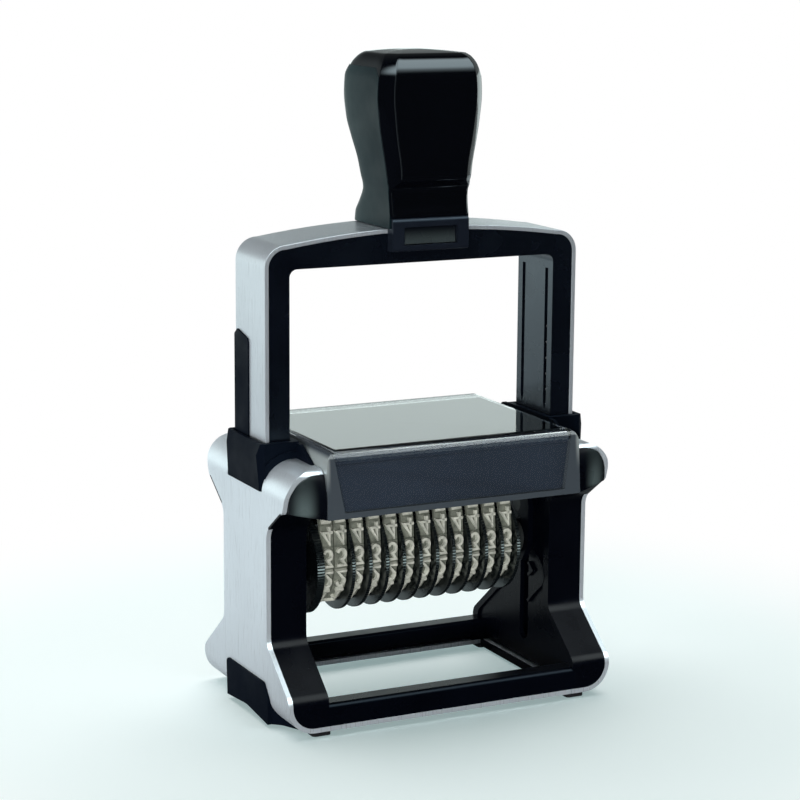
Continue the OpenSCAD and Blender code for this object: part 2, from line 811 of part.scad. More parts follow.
module handle_cheek_left() { handle_cheek(-1); }
module handle_cheek_right() { handle_cheek(1); }

// Flat panel let into the front of the core
module panel_region(gap) {
    low = neck_z + 9.8;
    high = head_z - 5.5;
    translate([0, front_y + 1.1, 0]) rotate([90, 0, 0]) linear_extrude(3) rounded([
        [-8.8 + gap, low + gap, 0.8], [8.8 - gap, low + gap, 0.8],
        [head_w / 2 - 3.3 - gap, high - gap, 0.8], [-head_w / 2 + 3.3 + gap, high - gap, 0.8]
    ]);
}

module handle_panel() {
    color("#08090c") intersection() {
        handle_body(0);
        panel_region(0.1);
    }
}

// ---- Number carriage ------------------------------------------------------

// Corners of the loop over the characters, relative to the axle
loop_half = [for (i = [0:len(loop_turns) - 1])
    [character_pitch * loop_run(i), character_pitch * loop_sum(i) - loop_corner_r]];
loop_points = concat([[0, -loop_corner_r]], loop_half,
    [for (i = [len(loop_half) - 1:-1:0]) [-loop_half[i][0], loop_half[i][1]]]);

// Moves every side of a closed outline inwards by t
function drawn_in(points, t) = let (n = len(points)) [for (i = [0:n - 1])
    let (a = unit(points[(i + n - 1) % n] - points[i]), b = unit(points[(i + 1) % n] - points[i]))
    points[i] + unit(a + b) * t / sin(acos(a * b) / 2)];

module band(i) {
    color("#c9c8bb") translate([0, 0, axle_h]) along_x(band_x[i - 1] - band_w / 2, band_w) difference() {
        polygon(drawn_in(loop_points, character_h));
        polygon(drawn_in(loop_points, character_h + band_t));
        circle(wheel_r + wheel_gap);
    }
}

wheel_r = loop_corner_r * cos(15) - character_h - band_t;

// Thumb disc with fine teeth, and the drum that drives the band beside it
module wheel(i) {
    x = band_x[i - 1];
    thick = i == 1 ? first_disc_t : disc_t;
    disc_x = i == 1 ? x - band_w / 2 - wheel_gap - thick : x + band_w / 2 + wheel_gap;
    tooth = min(0.35, 18 / disc_teeth);
    color("#0e1114") difference() {
        translate([0, 0, axle_h]) union() {
            along_x(disc_x, thick) polygon([for (k = [0:2 * disc_teeth - 1])
                (disc_r - (k % 2) * tooth) * [cos(180 * k / disc_teeth), sin(180 * k / disc_teeth)]]);
            rod_x(2 * wheel_r, i == 1 ? disc_x : x - band_w / 2,
                i == 1 ? x + band_w / 2 : disc_x + thick, 0, 0);
        }
        rod_x(axle_d + 2 * run_gap, disc_x - 8, disc_x + 12, 0, axle_h);
    }
}

module carriage_plate() {
    difference() {
        along_x(plate_in_x, plate_t) rounded(mirrored_outline([
            [3.2, axle_h - 6.2, 2], [6.4, axle_h - 1, 3], [6.4, pivot_h + 1, 3], [4.2, plate_top, 1]
        ]));
        rod_x(axle_d, plate_in_x - 1, plate_out_x + 1, 0, axle_h);
        rod_x(pivot_pin_d + 2 * run_gap, plate_in_x - 1, plate_out_x + 1, 0, pivot_h);
    }
}

module carriage_plate_right() { color("#23282d") carriage_plate(); }
module carriage_plate_left() { color("#23282d") on_side(-1) carriage_plate(); }

plate_top = cover_edge_h - 0.4;
platen_top = print_h - character_h - band_t;
platen_low = axle_h + disc_r + 0.4;

// Bar under the bands at the print line
module platen() {
    color("#2a2f34") along_x(-plate_in_x, 2 * plate_in_x) rounded(mirrored_outline([
        [6.4, platen_low, 0.5], [6.4, platen_low + 1.4, 0.5], [1.9, platen_top, 0.4]
    ]));
}

module wheel_axle() {
    color("#c4c8cc") rod_x(axle_d, -roller_out_x, roller_out_x, 0, axle_h);
}

module axle_spacer() {
    disc_right = bands_right + wheel_gap + disc_t;
    disc_left = bands_left - wheel_gap - first_disc_t;
    color("#8d9498") difference() {
        union() {
            rod_x(9, disc_right + wheel_gap, plate_in_x, 0, axle_h);
            rod_x(9, -plate_in_x, disc_left - wheel_gap, 0, axle_h);
        }
        rod_x(axle_d, -plate_in_x - 1, plate_in_x + 1, 0, axle_h);
    }
}

module cam_rollers() {
    color("#9aa0a4") for (side = [-1, 1]) on_side(side) difference() {
        rod_x(roller_d, roller_out_x - roller_t, roller_out_x, 0, axle_h);
        rod_x(axle_d, roller_out_x - 2, roller_out_x + 1, 0, axle_h);
    }
}

module band_01() { band(1); }
module band_02() { band(2); }
module band_03() { band(3); }
module band_04() { band(4); }
module band_05() { band(5); }
module band_06() { band(6); }
module band_07() { band(7); }
module band_08() { band(8); }
module band_09() { band(9); }
module band_10() { band(10); }
module band_11() { band(11); }
module band_12() { band(12); }

module wheel_01() { wheel(1); }
module wheel_02() { wheel(2); }
module wheel_03() { wheel(3); }
module wheel_04() { wheel(4); }
module wheel_05() { wheel(5); }
module wheel_06() { wheel(6); }
module wheel_07() { wheel(7); }
module wheel_08() { wheel(8); }
module wheel_09() { wheel(9); }
module wheel_10() { wheel(10); }
module wheel_11() { wheel(11); }
module wheel_12() { wheel(12); }

steel_frame();
housing_left();
housing_right();
front_bar();
back_bar();
collar_left();
collar_right();
foot_skirts();
rubber_feet();
top_cover();
index_card();
pad_rail();
pad_tray();
ink_pad();
return_spring_left();
return_spring_right();
arch_band();
arch_liner();
guide_ribs();
pivot_pins();
saddle_clip();
lock_button();
handle_core();
handle_cheek_left();
handle_cheek_right();
handle_panel();
carriage_plate_left();
carriage_plate_right();
platen();
wheel_axle();
axle_spacer();
cam_rollers();
band_01();
band_02();
band_03();
band_04();
band_05();
band_06();
band_07();
band_08();
band_09();
band_10();
band_11();
band_12();
wheel_01();
wheel_02();
wheel_03();
wheel_04();
wheel_05();
wheel_06();
wheel_07();
wheel_08();
wheel_09();
wheel_10();
wheel_11();
wheel_12();
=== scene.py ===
import math

import bmesh
import bpy
from mathutils import Matrix, Vector

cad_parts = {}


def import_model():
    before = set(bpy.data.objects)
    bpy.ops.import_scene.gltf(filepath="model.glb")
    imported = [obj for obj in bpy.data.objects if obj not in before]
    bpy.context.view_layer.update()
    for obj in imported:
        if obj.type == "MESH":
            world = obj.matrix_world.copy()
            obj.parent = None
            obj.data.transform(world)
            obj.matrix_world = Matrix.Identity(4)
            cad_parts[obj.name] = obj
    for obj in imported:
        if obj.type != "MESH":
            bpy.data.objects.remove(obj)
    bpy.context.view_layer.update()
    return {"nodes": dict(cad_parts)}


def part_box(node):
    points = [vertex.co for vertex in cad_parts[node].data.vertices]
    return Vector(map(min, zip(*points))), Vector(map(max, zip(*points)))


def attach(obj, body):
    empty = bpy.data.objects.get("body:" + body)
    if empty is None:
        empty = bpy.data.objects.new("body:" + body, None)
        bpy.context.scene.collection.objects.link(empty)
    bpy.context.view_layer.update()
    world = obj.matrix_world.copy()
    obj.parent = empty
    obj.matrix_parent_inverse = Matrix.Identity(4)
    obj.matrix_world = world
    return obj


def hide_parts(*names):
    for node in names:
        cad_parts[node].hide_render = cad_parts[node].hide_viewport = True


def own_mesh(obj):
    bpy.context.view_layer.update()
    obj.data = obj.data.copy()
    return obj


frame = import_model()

# Shapes are written in millimetres; places in materials, the lamps, the floor and the camera in metres
MM = 0.001


# ---- Node trees -----------------------------------------------------------

# Sockets of the Mix node when it mixes colours
MIX_FACTOR, MIX_FIRST, MIX_SECOND, MIX_RESULT = 0, 6, 7, 2
# Where most values of a noise lie
NOISE_SPAN = (0.3, 0.7)


class Tree:
    """Builds the node tree of a material or a world."""

    def __init__(self, owner):
        owner.use_nodes = True
        self.nodes = owner.node_tree.nodes
        self.links = owner.node_tree.links

    def feed(self, socket, value):
        """Gives an input a number, a colour or another node's output."""
        if isinstance(value, bpy.types.NodeSocket):
            self.links.new(value, socket)
        elif isinstance(value, tuple):
            socket.default_value = (*value, 1.0)
        else:
            socket.default_value = value

    def node(self, kind, *values, **named):
        """Outputs of a new node. Values feed its inputs in order, named ones an input or a setting."""
        made = self.nodes.new(kind)
        for name, value in named.items():
            if name in made.inputs:
                self.feed(made.inputs[name], value)
            else:
                setattr(made, name, value)
        for socket, value in zip(made.inputs, values):
            self.feed(socket, value)
        return made.outputs

    def calc(self, operation, *values):
        """Result of a sum, or another operation of the Math node."""
        return self.node("ShaderNodeMath", *values, operation=operation)[0]

    def product(self, *values):
        """All the values multiplied together."""
        result = values[0]
        for value in values[1:]:
            result = self.calc("MULTIPLY", result, value)
        return result

    def smooth(self, value, given, wanted):
        """A smooth step from one range to another."""
        return self.node("ShaderNodeMapRange", value, *given, *wanted, interpolation_type="SMOOTHSTEP")[0]

    def linear(self, value, given, wanted):
        """A straight step from one range to another."""
        return self.node("ShaderNodeMapRange", value, *given, *wanted)[0]

    def mix(self, factor, first, second):
        """One colour that turns into another."""
        made = self.nodes.new("ShaderNodeMix")
        made.data_type = "RGBA"
        for socket, value in ((MIX_FACTOR, factor), (MIX_FIRST, first), (MIX_SECOND, second)):
            self.feed(made.inputs[socket], value)
        return made.outputs[MIX_RESULT]

    def seen(self):
        """1 where the camera looks, straight or through the clear plastic."""
        path = self.node("ShaderNodeLightPath")
        return self.calc("MAXIMUM", path["Is Camera Ray"], path["Is Transmission Ray"])


class Shader(Tree):
    """A material with its Principled shader."""

    def __init__(self, name, color, rough, metal=0.0, spec=0.5):
        self.mat = bpy.data.materials.new(name)
        super().__init__(self.mat)
        self.bsdf = self.nodes["Principled BSDF"]
        self.coords = self.node("ShaderNodeTexCoord")["Object"]
        self.set("Base Color", color)
        self.set("Roughness", rough)
        self.set("Metallic", metal)
        self.set("Specular IOR Level", spec)

    def set(self, name, value):
        """Gives the Principled shader a value."""
        self.feed(self.bsdf.inputs[name], value)

    def position(self):
        """X, Y and Z on the object, in metres."""
        return self.node("ShaderNodeSeparateXYZ", self.coords)

    def noise(self, size, stretch=(1, 1, 1), detail=4.0, rough=0.55):
        """Noise whose features are about size metres across."""
        spread = self.node("ShaderNodeMapping", Vector=self.coords, Scale=[s / size for s in stretch])[0]
        return self.node("ShaderNodeTexNoise", Vector=spread, Scale=1.0, Detail=detail, Roughness=rough)[0]

    def rough_from(self, noise, low, high):
        self.set("Roughness", self.linear(noise, NOISE_SPAN, (low, high)))

    def color_from(self, noise, first, second):
        self.set("Base Color", self.mix(self.linear(noise, NOISE_SPAN, (0.0, 1.0)), first, second))

    def bump(self, noise, depth, strength=1.0):
        bent = self.node("ShaderNodeBump", Strength=strength, Distance=depth, Height=noise)[0]
        self.set("Normal", bent)


# ---- Materials ------------------------------------------------------------

DEEP_BLACK = (0.0008, 0.0012, 0.0028)

# Painted sheen on the housings' shoulders, put into their colour: its colour, and where it starts and ends
# across, upwards and in depth
PAINTED_SHEEN = (0.065, 0.088, 0.089)
PAINTED_SHEEN_INNER, PAINTED_SHEEN_OUTER = (0.0365, 0.0400), (0.0405, 0.0435)
PAINTED_SHEEN_LOW, PAINTED_SHEEN_TOP = (0.0545, 0.0562), (0.0565, 0.0640)
PAINTED_SHEEN_FRONT = (-0.0255, -0.0245)

# Corners of the card behind the cover's front: half width and height
CARD_LOW, CARD_HIGH = (0.0304, 0.0557), (0.0325, 0.0677)
LID_EDGE = CARD_HIGH[1] + 0.0003

# Cover: colour of its margins, of the painted reflection on their upper corners and rear, and of its lid, and
# where the painted reflection starts
SMOKE, PAINTED_REFLECTION, CLEAR = (0.065, 0.080, 0.095), (0.32, 0.36, 0.36), (0.85, 0.92, 0.93)
PAINTED_REFLECTION_SIDE, PAINTED_REFLECTION_HEIGHT = (0.0336, 0.0346), (0.060, 0.068)
PAINTED_REFLECTION_REAR = tuple(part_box("top_cover")[1].y - depth for depth in (0.0065, 0.0045))


def scaled(color, by):
    """The colour made darker or lighter."""
    return tuple(c * by for c in color)


def brushed_steel(name, along, color):
    """Brushed sheet: fine lines along one axis, in the finish and in the surface."""
    s = Shader(name, color, 0.3, metal=0.55)
    stretch = tuple(0.01 if axis == along else 1.0 for axis in "XYZ")
    lines = s.noise(0.00012, stretch, detail=3.0, rough=0.7)
    s.rough_from(lines, 0.24, 0.42)
    s.color_from(s.noise(0.02, detail=2.0), scaled(color, 0.96), scaled(color, 1.03))
    s.bump(lines, 0.000004, 0.5)
    return s.mat


def moulded(s, smooth, dull, grain=0.0004, depth=0.000006):
    """Finish of moulded plastic: slow changes in gloss and a fine spark-eroded grain."""
    s.rough_from(s.noise(0.012, detail=3.0), smooth, dull)
    s.bump(s.noise(grain, detail=2.0), depth)


def plastic(name, color, rough, spec, vary=0.25, grain=0.0004, depth=0.000006, tint=(0.6, 0.8, 1.0)):
    """Moulded plastic whose reflections have a tint."""
    s = Shader(name, color, rough, spec=spec)
    s.set("Specular Tint", tint)
    s.color_from(s.noise(0.03, detail=2.0), scaled(color, 0.85), scaled(color, 1.2))
    moulded(s, rough * (1 - vary), rough * (1 + vary), grain, depth)
    return s.mat


def plastic_with_painted_light(name, dark, light, axis, given, rough, spec):
    """Moulded plastic whose colour grows lighter along one axis, between two places in metres: painted light
    and shade.
    """
    s = Shader(name, light, rough, spec=spec)
    s.set("Base Color", s.mix(s.smooth(s.position()[axis], given, (0.0, 1.0)), dark, light))
    moulded(s, rough * 0.75, rough * 1.25)
    return s.mat


def housing_plastic():
    """Black, with a painted sheen low in the middle of each shoulder."""
    s = Shader("housing_black_painted_sheen", DEEP_BLACK, 0.30, spec=0.10)
    x, y, z = s.position()
    side = s.calc("ABSOLUTE", x)
    across = s.product(s.smooth(side, PAINTED_SHEEN_INNER, (0.0, 1.0)), s.smooth(side, PAINTED_SHEEN_OUTER, (1.0, 0.25)))
    upwards = s.product(s.smooth(z, PAINTED_SHEEN_TOP, (1.0, 0.3)), s.smooth(z, PAINTED_SHEEN_LOW, (0.0, 1.0)))
    sheen = s.product(across, upwards, s.smooth(y, PAINTED_SHEEN_FRONT, (1.0, 0.0)))
    # The painted sheen is mixed into the base colour
    s.set("Base Color", s.mix(sheen, DEEP_BLACK, PAINTED_SHEEN))
    moulded(s, 0.22, 0.38)
    return s.mat


def band_rubber(name, dark, light):
    """Rubber stained by ink."""
    s = Shader(name, light, 0.62, spec=0.3)
    stain = s.noise(0.0016, detail=6.0, rough=0.65)
    s.color_from(stain, dark, light)
    s.rough_from(stain, 0.55, 0.75)
    s.bump(s.noise(0.0003, detail=3.0), 0.00002)
    return s.mat


def felt():
    """Felt full of ink, with its fibres along Y."""
    s = Shader("felt", (0.02, 0.025, 0.035), 0.95, spec=0.1)
    s.set("Sheen Weight", 0.3)
    fibres = s.noise(0.0002, (1, 0.25, 1), detail=6.0, rough=0.8)
    s.color_from(fibres, (0.012, 0.015, 0.022), (0.04, 0.045, 0.06))
    s.bump(fibres, 0.00008)
    return s.mat


def cover_plastic():
    """Clear over the card and on the lid, and smoky in the margins around them, with a painted reflection on
    the margins' upper side corners and rear.
    """
    s = Shader("clear_plastic", SMOKE, 0.03)
    s.set("IOR", 1.49)
    s.rough_from(s.noise(0.02, detail=2.0), 0.02, 0.05)
    x, y, z = s.position()
    side = s.calc("ABSOLUTE", x)
    # The sides of the card lean outwards on their way up
    lean = (CARD_HIGH[0] - CARD_LOW[0]) / (CARD_HIGH[1] - CARD_LOW[1])
    card_edge = s.calc("ADD", s.product(z, lean), CARD_LOW[0] - lean * CARD_LOW[1])
    over_card = s.product(s.calc("LESS_THAN", side, card_edge), s.calc("GREATER_THAN", z, CARD_LOW[1]))
    walls = s.product(over_card, s.calc("LESS_THAN", z, LID_EDGE))
    window = s.product(walls, s.calc("LESS_THAN", y, 0.0))
    # Painted reflection along the rear: its real reflection is turned off, and a pale colour is painted in
    # its place
    rear = s.smooth(y, PAINTED_REFLECTION_REAR, (0.0, 1.0))
    lid = s.product(s.calc("SUBTRACT", over_card, walls), s.calc("SUBTRACT", 1.0, rear))
    s.set("Specular IOR Level", s.linear(rear, (0.0, 1.0), (0.5, 0.0)))
    s.set("Alpha", s.linear(window, (0.0, 1.0), (1.0, 0.2)))
    s.set("Transmission Weight", s.linear(lid, (0.0, 1.0), (0.25, 1.0)))
    # Painted reflection: the margins' upper side corners turn pale
    corner = s.product(s.smooth(side, PAINTED_REFLECTION_SIDE, (0.0, 1.0)), s.smooth(z, PAINTED_REFLECTION_HEIGHT, (0.0, 1.0)))
    margin = s.mix(s.calc("MAXIMUM", corner, rear), SMOKE, PAINTED_REFLECTION)
    s.set("Base Color", s.mix(lid, margin, CLEAR))
    return s.mat


STEEL = brushed_steel("steel", "Z", (0.63, 0.69, 0.74))
ARCH_STEEL = brushed_steel("arch_steel", "Z", (0.47, 0.51, 0.55))
BRIGHT = brushed_steel("bright_steel", "X", (0.68, 0.70, 0.72))
BLACK = plastic("black_plastic", DEEP_BLACK, 0.30, 0.10)
HOUSING = housing_plastic()
GLOSS = plastic("black_gloss", (0.0006, 0.0008, 0.0018), 0.10, 0.55, vary=0.15, depth=0.000001,
                tint=(0.82, 0.92, 1.0))
LINER = plastic("liner_black", (0.0010, 0.0014, 0.0032), 0.26, 0.65)
MATT = plastic("matt_black", (0.0022, 0.0036, 0.0070), 0.55, 0.03)
CLIP = plastic("clip_black", (0.0060, 0.0080, 0.0130), 0.35, 0.25)
# Grey plastic with painted shade: darker towards the front of the handle, lighter towards the back
CHEEK = plastic_with_painted_light("grey_plastic", (0.0050, 0.0115, 0.0140), (0.0190, 0.0330, 0.0360), "Y",
                       (-0.009, 0.014), 0.42, 0.06)
DISC = plastic("disc_black", (0.0020, 0.0028, 0.0034), 0.28, 1.0, tint=(0.85, 1.0, 1.0))
SPACER = plastic("spacer_grey", (0.030, 0.034, 0.033), 0.5, 0.2)
CARD = plastic("card", (0.0185, 0.026, 0.042), 0.5, 0.3, grain=0.0002, depth=0.000003)
RUBBER = plastic("rubber", (0.012, 0.012, 0.013), 0.8, 0.2, grain=0.0003, depth=0.00002)
# The loop's ground is darker than its figures, partly for ink and partly as painted shade in the recesses
# between the raised figures
BAND = band_rubber("band_rubber", (0.075, 0.085, 0.068), (0.20, 0.21, 0.175))
TYPE = band_rubber("type_rubber", (0.30, 0.31, 0.27), (0.62, 0.63, 0.55))
button_low, button_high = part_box("lock_button")
# Black plastic with painted light: lighter towards the button's foot
BUTTON = plastic_with_painted_light("button_black_painted_light", (0.002, 0.003, 0.005), (0.036, 0.047, 0.049), "Z",
                        (button_high.z, button_low.z), 0.3, 0.15)
FELT = felt()
COVER = cover_plastic()


# ---- Finish of a piece ----------------------------------------------------

def paint(obj, mat):
    obj.data.materials.clear()
    obj.data.materials.append(mat)


def shade_smooth(mesh):
    mesh.polygons.foreach_set("use_smooth", [True] * len(mesh.polygons))


def broken_edges(obj, width, segments=2, angle=30):
    """Rounds the edges that turn by more than an angle in degrees."""
    bevel = obj.modifiers.new("edges", "BEVEL")
    bevel.width = width * MM
    bevel.segments = segments
    bevel.limit_method = "ANGLE"
    bevel.angle_limit = math.radians(angle)
    bevel.harden_normals = True
    return bevel


def skin(obj, thickness, edge):
    """Gives an open sheet its thickness, inwards, and rounds its edges."""
    solid = obj.modifiers.new("skin", "SOLIDIFY")
    solid.thickness = thickness * MM
    solid.offset = -1.0
    broken_edges(obj, edge, angle=50)


# ---- CAD nodes ------------------------------------------------------------

def dress(node, mat, width=0.2, segments=2):
    """Shows a CAD node as it is, with its edges broken and its own finish."""
    obj = frame["nodes"][node]
    paint(obj, mat)
    shade_smooth(obj.data)
    if "custom_normal" in obj.data.attributes:
        obj.data.attributes.remove(obj.data.attributes["custom_normal"])
    weld = obj.modifiers.new("weld", "WELD")
    weld.merge_threshold = 0.002 * MM
    bevel = broken_edges(obj, width, segments, angle=35)
    bevel.miter_outer = "MITER_ARC"


dress("steel_frame", STEEL, 0.14)
dress("arch_band", ARCH_STEEL, 0.16)
for side in ("left", "right"):
    dress("housing_" + side, HOUSING, 0.3, 3)
    dress("collar_" + side, MATT, 0.35, 3)
    dress("carriage_plate_" + side, BLACK, 0.15)
for node in ("front_bar", "back_bar"):
    dress(node, BLACK, 0.3, 3)
dress("foot_skirts", MATT, 0.4, 3)
dress("rubber_feet", RUBBER, 0.3)
dress("top_cover", COVER, 0.25, 3)
dress("index_card", CARD, 0.08, 1)
dress("pad_rail", BLACK, 0.15)
dress("pad_tray", BLACK, 0.3)
dress("ink_pad", FELT, 0.3)
dress("arch_liner", LINER, 0.3, 3)
dress("guide_ribs", MATT, 0.15)
dress("pivot_pins", SPACER)
dress("saddle_clip", CLIP, 0.35, 3)
dress("lock_button", BUTTON, 0.2, 3)
dress("platen", MATT, 0.15)
dress("wheel_axle", BRIGHT)
dress("axle_spacer", SPACER, 0.3)
dress("cam_rollers", BRIGHT, 0.12)


# ---- New pieces -----------------------------------------------------------

def middle(node):
    """Middle of a CAD node at rest, in millimetres."""
    low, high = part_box(node)
    return (low + high) / 2 / MM


def piece(name, verts, faces, mat, body, replaces=()):
    """Makes a mesh from points in millimetres and puts it on its CAD body."""
    mesh = bpy.data.meshes.new(name)
    mesh.from_pydata([tuple(c * MM for c in v) for v in verts], [], faces)
    mesh.validate()
    bm = bmesh.new()
    bm.from_mesh(mesh)
    bmesh.ops.recalc_face_normals(bm, faces=bm.faces)
    bm.to_mesh(mesh)
    bm.free()
    shade_smooth(mesh)
    obj = bpy.data.objects.new(name, mesh)
    bpy.context.collection.objects.link(obj)
    paint(obj, mat)
    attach(obj, body)
    if replaces:
        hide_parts(*replaces)
    return obj


def grid_faces(rows, cols, closed=False):
    """Faces of a grid of points stored row by row."""
    faces = []
    span = cols if closed else cols - 1
    for r in range(rows - 1):
        for c in range(span):
            a = r * cols + c
            b = r * cols + (c + 1) % cols
            faces.append((a, b, b + cols, a + cols))
    return faces


# ---- Handle ---------------------------------------------------------------

# Above this height the front steps straight out, from the neck to the foot of the panel
STEP_Z = 131.0
# Height, half width, front, back and bevel: as in the CAD part, with a fuller neck and head
HANDLE = [
    (121.3, 10.85, -11.85, 12.5, 0.6),
    (124.0, 10.8, -11.85, 12.1, 0.6),
    (126.6, 10.75, -11.35, 11.0, 0.5),
    (129.6, 10.85, -11.05, 9.9, 0.5),
    (STEP_Z, 11.0, -11.25, 9.8, 0.5),
    (133.3, 11.45, -13.8, 10.1, 2.5),
    (137.6, 12.05, -13.9, 10.9, 2.75),
    (142.6, 12.95, -14.0, 12.5, 2.8),
    (147.6, 13.7, -14.15, 13.95, 2.9),
    (153.6, 14.2, -14.25, 14.25, 2.9),
    (157.6, 14.0, -14.25, 14.25, 2.9),
    (160.6, 13.2, -13.65, 12.85, 2.6),
    (162.9, 11.9, -12.25, 10.85, 2.4),
    (164.4, 9.9, -9.45, 8.25, 2.2),
]
# Place of the front in a row of the list
FRONT = 2
HANDLE_TOP = 164.5

# Heights of the core's rings, close together at the step and towards the top
CORE_RINGS = [124.0 + 0.6 * i for i in range(12)]
CORE_RINGS += [131.2, 131.7, 132.2, 132.7, 133.1, 133.4, 134.0, 135.0]
CORE_RINGS += [136.5 + 1.5 * i for i in range(15)]
CORE_RINGS += [158.2, 159.0, 159.8, 160.6, 161.3, 161.9, 162.5, 163.0, 163.4, 163.7]
# Rings of the crowned top, as shares of the last ring
CROWN_RINGS = (0.92, 0.8, 0.65, 0.5, 0.35, 0.2)

# Points of half a section: across the front, round each edge of the bevel, along the side and round the back
FRONT_SHARES = (0.0, 0.33, 0.66)
EDGE_STEPS, SIDE_STEPS, BACK_STEPS = 3, 6, 10
# Depth of the bevel as a share of its width, and the radius of its edges, at most a share of it
BEVEL_DEPTH, EDGE_R, EDGE_SHARE = 1.08, 0.4, 0.4
# Radius round the back corner, which grows from the foot up, and the flats that it leaves beside it
BACK_R, FOOT_BACK_R, FOOT_Z = 8.0, 5.0, 124.0
SIDE_FLAT, BACK_FLAT = 0.8, 0.5

# Satin cheeks: how far they stand out of the core, their ends, and the radius of their upper front corner,
# which is measured along the section at a height in the head
CHEEK_PROUD, CHEEK_LOW, CHEEK_TOP, CHEEK_CORNER = 0.1, 121.4, 160.4, 2.2
CHEEK_ROWS = 56
HEAD_Z = 150.0

# Gloss panel: its gap to the bevels, how far it stands out, and the sides of its foot, which curve up
PANEL_GAP, PANEL_PROUD, PANEL_FOOT, PANEL_CURVE = 0.15, 0.14, 133.9, 0.35
PANEL_RINGS = [PANEL_FOOT + 0.9 * i for i in range(27)]
PANEL_RINGS += [157.9, 158.7, 159.4, 160.1, 160.8, 161.5, 162.1, 162.7, 163.2, 163.6]
PANEL_COLS = 13


def even_slope(before, after):
    """Slope of a smooth curve where two stretches meet, level where they turn back."""
    return 0.0 if before * after <= 0 else 2 * before * after / (before + after)


def level(z):
    """Half width, front, back and bevel at a height, on a smooth curve through the list."""
    rows = HANDLE
    z = min(max(z, rows[0][0]), rows[-1][0])
    i = max(j for j in range(len(rows) - 1) if rows[j][0] <= z)
    a, b = rows[i], rows[i + 1]
    h = b[0] - a[0]
    t = (z - a[0]) / h
    out = []
    for k in range(1, 5):
        slope = (b[k] - a[k]) / h
        before = (a[k] - rows[i - 1][k]) / (a[0] - rows[i - 1][0]) if i else slope
        after = (rows[i + 2][k] - b[k]) / (rows[i + 2][0] - b[0]) if i + 2 < len(rows) else slope
        start, end = even_slope(before, slope), even_slope(after, slope)
        if k == FRONT and a[0] == STEP_Z:
            start = end = slope
        out.append((2 * t**3 - 3 * t**2 + 1) * a[k] + (t**3 - 2 * t**2 + t) * h * start
                   + (3 * t**2 - 2 * t**3) * b[k] + (t**3 - t**2) * h * end)
    return out


def fillet(before, corner, after, r, steps):
    """Points of a small arc that rounds a corner in the plane."""
    a = (Vector(before) - Vector(corner)).normalized()
    b = (Vector(after) - Vector(corner)).normalized()
    half = a.angle(b) / 2
    if half > math.radians(89.5):
        # All but straight
        return [tuple(corner)] * (steps + 1)
    t = r / math.tan(half)
    centre = Vector(corner) + (a + b).normalized() * (r / math.sin(half))
    first, last = Vector(corner) + a * t - centre, Vector(corner) + b * t - centre
    total = first.angle_signed(last)
    out = []
    for i in range(steps + 1):
        c, s = math.cos(total * i / steps), -math.sin(total * i / steps)
        out.append((centre.x + first.x * c - first.y * s, centre.y + first.x * s + first.y * c))
    return out


def half_section(z, grow=0.0):
    """Right half of the handle's section at a height, from the front's middle to the back's."""
    w, front, back, bevel = level(z)
    w, front, back = w + grow, front - grow, back + grow
    r = min(BACK_R, FOOT_BACK_R + max(0.0, z - FOOT_Z) / 2, w - SIDE_FLAT, (back - front) / 2 - BACK_FLAT)
    edge = min(EDGE_R, bevel * EDGE_SHARE)
    a, b, c = (w - bevel, front), (w, front + bevel * BEVEL_DEPTH), (w, back - r)
    points = [(a[0] * share, front) for share in FRONT_SHARES]
    points += fillet((0.0, front), a, b, edge, EDGE_STEPS)
    points += fillet(a, b, c, edge, EDGE_STEPS)
    start = b[1] + edge
    points += [(w, start + (c[1] - start) * i / SIDE_STEPS) for i in range(1, SIDE_STEPS)]
    points += [(w - r + r * math.cos(t), back - r + r * math.sin(t))
               for t in (math.pi / 2 * i / BACK_STEPS for i in range(BACK_STEPS + 1))]
    points += [((w - r) * share, back) for share in reversed(FRONT_SHARES)]
    return points


def handle_core():
    """Black core of the handle, with a crowned top that is highest in the middle."""
    verts = []
    for z in CORE_RINGS:
        right = half_section(z)
        ring = right + [(-x, y) for x, y in reversed(right[1:-1])]
        verts += [(x, y, z) for x, y in ring]
    # The crown closes over the last of these rings
    rim_z = CORE_RINGS[-1]
    _, front, back, _ = level(rim_z)
    mid_y = (front + back) / 2
    for share in CROWN_RINGS:
        z = HANDLE_TOP - (HANDLE_TOP - rim_z) * share**2
        verts += [(x * share, mid_y + (y - mid_y) * share, z) for x, y in ring]
    cols = len(ring)
    faces = grid_faces(len(verts) // cols, cols, closed=True)
    last, peak = len(verts) - cols, len(verts)
    verts.append((0.0, mid_y, HANDLE_TOP))
    faces += [(last + c, last + (c + 1) % cols, peak) for c in range(cols)]
    faces.append(tuple(range(cols)))
    piece("handle_shell", verts, faces, GLOSS, "arch", ["handle_core"])


def handle_cheek(side, name, node):
    """Satin side of the handle: a thin shell a hair proud of the black core."""
    ring = half_section(HEAD_Z, CHEEK_PROUD)
    # It starts where the bevel's second edge ends
    first = len(FRONT_SHARES) + 2 * (EDGE_STEPS + 1) - 1
    tops, reach = [], 0.0
    for k in range(first, len(ring)):
        if k > first:
            reach += (Vector(ring[k]) - Vector(ring[k - 1])).length
        drop = 0.0
        if reach < CHEEK_CORNER:
            drop = CHEEK_CORNER - math.sqrt(CHEEK_CORNER**2 - (CHEEK_CORNER - reach)**2)
        tops.append(CHEEK_TOP - drop)
    verts = []
    for r in range(CHEEK_ROWS + 1):
        for k, top in enumerate(tops, first):
            z = CHEEK_LOW + (top - CHEEK_LOW) * r / CHEEK_ROWS
            x, y = half_section(z, CHEEK_PROUD)[k]
            verts.append((side * x, y, z))
    faces = grid_faces(CHEEK_ROWS + 1, len(tops))
    obj = piece(name, verts, faces, CHEEK, "arch", [node])
    skin(obj, thickness=0.5, edge=0.07)


